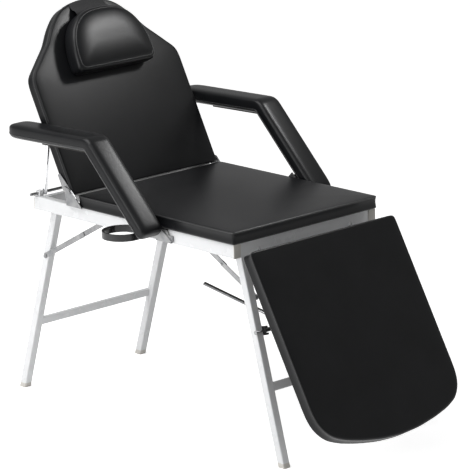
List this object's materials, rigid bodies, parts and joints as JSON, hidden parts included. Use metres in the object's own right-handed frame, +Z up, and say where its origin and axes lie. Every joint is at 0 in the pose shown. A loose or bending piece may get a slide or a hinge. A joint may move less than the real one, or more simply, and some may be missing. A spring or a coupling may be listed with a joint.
{
  "type": "folding treatment table",
  "caption": "Folding treatment table with a reclining back, tilting leg rest, lift-off armrests, head pillow, holder ring and folding braced steel legs.",
  "frame": {"origin": "on the floor, under the middle of the whole table as it stands with its back up and its leg rest down", "axes": "+Z up, +Y from the leg rest towards the back, +X to the right of someone who stands at the leg rest and faces the back"},
  "size_m": [0.7736, 1.3624, 1.1646],
  "materials": {
    "black_leatherette": "satin grained leatherette",
    "strap_webbing": "woven elastic webbing",
    "stained_plywood": "plywood stained black",
    "white_paint": "gloss powder coat",
    "beige_plastic": "moulded",
    "chrome": "polished",
    "gloss_black_plastic": "gloss",
    "black_plastic": "moulded",
    "zinc_plated_steel": "zinc plated"
  },
  "bodies": {
    "frame": {"side_rail_left": "white_paint", "side_rail_right": "white_paint", "front_cross_rail": "white_paint", "rear_cross_rail": "white_paint", "rail_caps": "beige_plastic", "seat_board": "stained_plywood", "seat_pad": "black_leatherette", "rail_screws": "zinc_plated_steel", "leg_pivot_bolts": "zinc_plated_steel", "back_hinge_plates": "zinc_plated_steel", "back_hinge_pins": "zinc_plated_steel", "bail_brackets": "white_paint", "leg_hinge_lugs": "white_paint", "leg_hinge_pins": "zinc_plated_steel", "stay_lugs": "zinc_plated_steel", "stay_frame_pins": "zinc_plated_steel", "wedge_plates": "zinc_plated_steel", "holder_ring": "gloss_black_plastic", "holder_bracket": "gloss_black_plastic"},
    "rear_legs": {"rear_leg_left": "white_paint", "rear_leg_right": "white_paint", "rear_crossbar": "white_paint", "rear_foot_caps": "beige_plastic", "rear_stay_pins": "zinc_plated_steel"},
    "front_legs": {"front_leg_left": "white_paint", "front_leg_right": "white_paint", "front_crossbar": "white_paint", "front_foot_caps": "beige_plastic", "front_stay_pins": "zinc_plated_steel", "cradles": "black_plastic", "cradle_bolts": "zinc_plated_steel"},
    "rear_stay_lower": {"rear_stay_lower": "zinc_plated_steel"},
    "rear_stay_upper": {"rear_stay_upper": "zinc_plated_steel"},
    "front_stay_lower": {"front_stay_lower": "zinc_plated_steel"},
    "front_stay_upper": {"front_stay_upper": "zinc_plated_steel"},
    "backrest": {"back_board": "stained_plywood", "back_pad": "black_leatherette", "back_hinge_straps": "zinc_plated_steel", "back_racks": "zinc_plated_steel"},
    "pillow": {"head_pillow": "black_leatherette", "pillow_strap": "strap_webbing"},
    "bail": {"bail_rod": "zinc_plated_steel", "bail_struts": "chrome", "bail_top_rod": "zinc_plated_steel"},
    "leg_rest": {"leg_board": "stained_plywood", "leg_pad": "black_leatherette", "leg_hinge_arms": "zinc_plated_steel", "rod_brackets": "zinc_plated_steel"},
    "clamps": {"clamp_axle": "black_plastic", "rod_clamps": "black_plastic"},
    "rods": {"support_rods": "chrome"},
    "clamp_knob_left": {"clamp_knob_left": "black_plastic"},
    "clamp_knob_right": {"clamp_knob_right": "black_plastic"},
    "armrest_left": {"armrest_pad_left": "black_leatherette", "armrest_board_left": "stained_plywood", "armrest_keeper_left": "zinc_plated_steel"},
    "armrest_right": {"armrest_pad_right": "black_leatherette", "armrest_board_right": "stained_plywood", "armrest_keeper_right": "zinc_plated_steel"}
  },
  "joints": [
    {"name": "rear_leg_fold", "type": "hinge", "parent": "frame", "child": "rear_legs", "pos_m": [0.01475, 0.48107, 0.586], "axis": [1, 0, 0], "range_deg": [-105.2, 0]},
    {"name": "rear_stay_lower_turn", "type": "hinge", "parent": "rear_legs", "child": "rear_stay_lower", "pos_m": [0.01475, 0.5299, 0.433], "axis": [1, 0, 0], "range_deg": [0, 132]},
    {"name": "rear_stay_upper_turn", "type": "hinge", "parent": "frame", "child": "rear_stay_upper", "pos_m": [0.01475, 0.24807, 0.583], "axis": [1, 0, 0], "range_deg": [-157, 0]},
    {"name": "front_leg_fold", "type": "hinge", "parent": "frame", "child": "front_legs", "pos_m": [0.01475, -0.29193, 0.6061], "axis": [1, 0, 0], "range_deg": [0, 104.9]},
    {"name": "front_stay_lower_turn", "type": "hinge", "parent": "front_legs", "child": "front_stay_lower", "pos_m": [0.01475, -0.33094, 0.4595], "axis": [1, 0, 0], "range_deg": [-167, 0]},
    {"name": "front_stay_upper_turn", "type": "hinge", "parent": "frame", "child": "front_stay_upper", "pos_m": [0.01475, -0.10193, 0.582], "axis": [1, 0, 0], "range_deg": [0, 121]},
    {"name": "back_recline", "type": "hinge", "parent": "frame", "child": "backrest", "pos_m": [0.01475, 0.36007, 0.66], "axis": [1, 0, 0], "range_deg": [-63, 0]},
    {"name": "bail_swing", "type": "hinge", "parent": "frame", "child": "bail", "pos_m": [0.01475, 0.52507, 0.627], "axis": [1, 0, 0], "range_deg": [-100, 0]},
    {"name": "leg_rest_tilt", "type": "hinge", "parent": "frame", "child": "leg_rest", "pos_m": [0.01475, -0.32243, 0.5838], "axis": [1, 0, 0], "range_deg": [-60.5, 5]},
    {"name": "clamp_turn", "type": "hinge", "parent": "frame", "child": "clamps", "pos_m": [0.01475, -0.36593, 0.372], "axis": [1, 0, 0], "range_deg": [-55, 6]},
    {"name": "rod_slide", "type": "slide", "parent": "clamps", "child": "rods", "axis": [0, -0.9877, -0.1563], "range_m": [-0.03, 0.222]},
    {"name": "clamp_knob_left_turn", "type": "hinge", "parent": "clamps", "child": "clamp_knob_left", "pos_m": [-0.11225, -0.36328, 0.35521], "axis": [0, -0.1563, 0.9877], "range_deg": [-90, 90]},
    {"name": "clamp_knob_right_turn", "type": "hinge", "parent": "clamps", "child": "clamp_knob_right", "pos_m": [0.14175, -0.36328, 0.35521], "axis": [0, -0.1563, 0.9877], "range_deg": [-90, 90]},
    {"name": "armrest_left_lift", "type": "slide", "parent": "frame", "child": "armrest_left", "axis": [0, 0, 1], "range_m": [0, 0.016]},
    {"name": "armrest_right_lift", "type": "slide", "parent": "frame", "child": "armrest_right", "axis": [0, 0, 1], "range_m": [0, 0.016]},
    {"name": "pillow_lift", "type": "slide", "parent": "backrest", "child": "pillow", "axis": [0, 0.454, 0.891], "range_m": [0, 0.05]}
  ],
  "couplings": [
    {"joint": "rear_stay_lower_turn", "follows": "rear_leg_fold", "ratio": -1.2363},
    {"joint": "rear_stay_upper_turn", "follows": "rear_leg_fold", "ratio": 1.4747},
    {"joint": "front_stay_lower_turn", "follows": "front_leg_fold", "ratio": -1.5751},
    {"joint": "front_stay_upper_turn", "follows": "front_leg_fold", "ratio": 1.1409},
    {"joint": "bail_swing", "follows": "back_recline", "ratio": 1.5708},
    {"joint": "clamp_turn", "follows": "leg_rest_tilt", "ratio": 0.89056},
    {"joint": "rod_slide", "follows": "leg_rest_tilt", "m_per_rad": -0.2054}
  ]
}
